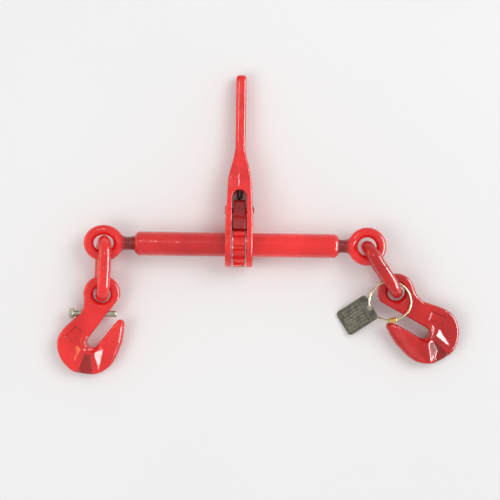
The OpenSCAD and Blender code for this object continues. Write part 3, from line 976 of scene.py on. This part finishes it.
def make_ferrule():
    """Short sleeve over the loop's wire, rounded at its ends and crimped in two places."""
    count, sides = 31, 28
    path = loop_point(FERRULE_AT + np.linspace(-FERRULE_SPAN, FERRULE_SPAN, count))
    angle = np.linspace(0, 2 * math.pi, sides, endpoint=False)
    along = np.linspace(-1, 1, count)
    crimp = 0.35 * bump_at(np.abs(along) - 0.42, 0.16)[:, None]
    crimp = crimp * (0.5 + 0.5 * np.cos(2 * angle))[None]
    radius = FERRULE_R - 0.5 * smooth((np.abs(along) - 0.85) / 0.15)[:, None]
    mesh = tube("crimped_ferrule", path, radius - crimp, sides, Matrix(), (0, 0, 1), False)
    add_object("crimped_ferrule", mesh, GOLD, "tag_loop", ["tag_ferrule"])


# ---- barrel and small hardware ----

BARREL_BORE_R = 12.0


def barrel_painted_shade(x, y, z):
    """Painted shade: the barrel's left half is a little darker than its right."""
    return 0.28 * smooth((10.0 - x) / 40.0)


def make_barrel():
    """A turned sleeve with a rounded lip at each end."""
    low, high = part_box("barrel_tube")
    left, right, outer = low.x / MM, high.x / MM, high.z / MM
    end_x = [left, left, left + 0.5, left + 4.0, left + 5.5]
    end_r = [BARREL_BORE_R, outer - 4.0, outer - 3.1, outer - 0.35, outer]
    run_x = np.linspace(left + 8.0, right - 8.0, 60)
    far_x = [left + right - x for x in reversed(end_x)]
    x = np.concatenate([end_x, run_x, far_x])
    r = np.concatenate([end_r, np.full(len(run_x), outer), end_r[::-1]])
    mesh = skin("barrel_sleeve", turned(x, r[:, None], 96), Matrix(), True)
    form = bmesh.new()
    form.from_mesh(mesh)
    bmesh.ops.recalc_face_normals(form, faces=form.faces)
    form.to_mesh(mesh)
    form.free()
    mesh.set_sharp_from_angle(angle=math.radians(50))
    # Painted shade on the barrel's left half.
    mark(mesh, Matrix(), barrel_painted_shade)
    add_object("barrel_sleeve", mesh, RED, "barrel", ["barrel_tube"])


def make_hardware():
    """The small pieces keep their CAD form, with softer edges of the last width given."""
    for node, body, material, slot, width in (
        ("ratchet_wheel", "barrel", RED, "red_paint", 0.7),
        ("wheel_pins", "barrel", RED, "bright_steel", 0.3),
        ("left_end_nut", "barrel", DARK_STEEL, "dark_steel", 0.4),
        ("right_end_nut", "barrel", DARK_STEEL, "dark_steel", 0.4),
        ("thrust_washers", "carrier", BRIGHT_STEEL, "bright_steel", 0.3),
        ("pawl", "pawl", PAWL_RED, "red_paint", 0.8),
        ("pawl_pin", "lever", RED, "red_paint", 0.4),
        ("pawl_pin_clip", "lever", DARK_STEEL, "dark_steel", 0.15),
        ("detent_plunger", "plunger", DARK_STEEL, "bright_steel", 0.3),
        ("left_stop_collar", "left_screw", DARK_STEEL, "dark_steel", 0.3),
        ("left_stop_pin", "left_screw", BRIGHT_STEEL, "bright_steel", 0.2),
        ("right_stop_collar", "right_screw", DARK_STEEL, "dark_steel", 0.3),
        ("right_stop_pin", "right_screw", BRIGHT_STEEL, "bright_steel", 0.2),
        ("safety_bolt", "safety_bolt", ZINC, "zinc", 0.5),
    ):
        soften(node, body, material, width)


# ---- stage, light and camera ----

FLOOR_HALF = 4.0
FLOOR_GAP = 0.0002
SKY = 0.62
CAMERA_AT = (0.0149, -0.0068, 2.0)
CAMERA_ROLL = math.radians(0.8)
CAMERA_LENS = 106.7


def make_stage():
    size = FLOOR_HALF
    mesh = bpy.data.meshes.new("studio_floor")
    corners = [(-size, -size), (size, -size), (size, size), (-size, size)]
    height = CAD_BOX[0][2] - FLOOR_GAP
    mesh.from_pydata([(x, y, height) for x, y in corners], [], [(0, 1, 2, 3)])
    mesh.materials.append(floor_material())
    floor = bpy.data.objects.new("studio_floor", mesh)
    bpy.context.scene.collection.objects.link(floor)


def area_light(name, place, size_x, size_y, power, colour, shines):
    """Soft box aimed at the origin. It only shows in reflections if it shines, or else never."""
    light = bpy.data.lights.new(name, "AREA")
    light.shape = "RECTANGLE"
    light.size, light.size_y = size_x, size_y
    light.energy = power
    light.color = colour
    obj = bpy.data.objects.new(name, light)
    bpy.context.scene.collection.objects.link(obj)
    obj.location = place
    obj.rotation_euler = (-Vector(place)).to_track_quat("-Z", "Y").to_euler()
    obj.visible_diffuse = not shines
    obj.visible_glossy = shines
    obj.visible_camera = False


def make_light():
    """Even daylight with two soft boxes, and three more that only show in reflections."""
    world = bpy.data.worlds.new("studio")
    bpy.context.scene.world = world
    world.use_nodes = True
    background = world.node_tree.nodes["Background"]
    background.inputs["Color"].default_value = (1, 1, 1, 1)
    background.inputs["Strength"].default_value = SKY
    area_light("key", (1.5, 0.9, 2.3), 1.6, 1.6, 27, (1, 0.99, 0.98), False)
    area_light("fill", (-1.6, -0.6, 2.3), 1.6, 1.6, 18, (1, 1, 1), False)
    area_light("right_shine", (1.9, 0.0, 0.62), 2.4, 0.75, 110, (1, 1, 1), True)
    area_light("warm_shine", (-1.5, 0.15, 0.37), 1.1, 0.2, 5, (1, 0.62, 0.2), True)
    area_light("top_shine", (-0.5, 0.8, 2.2), 0.35, 0.2, 5, (1, 1, 1), True)


def make_camera():
    """Straight above the binder, looking down."""
    camera = bpy.data.cameras.new("camera")
    camera.sensor_width = 36.0
    camera.lens = CAMERA_LENS
    obj = bpy.data.objects.new("camera", camera)
    bpy.context.scene.collection.objects.link(obj)
    obj.location = CAMERA_AT
    obj.rotation_euler = (0, 0, CAMERA_ROLL)
    bpy.context.scene.camera = obj


make_barrel()
make_hardware()
make_eye_screws()
make_lever()
make_detent_coil()
make_links()
make_hooks()
make_tag_loop()
make_tag()
make_ferrule()
make_stage()
make_light()
make_camera()
bpy.context.scene.view_settings.view_transform = "Standard"
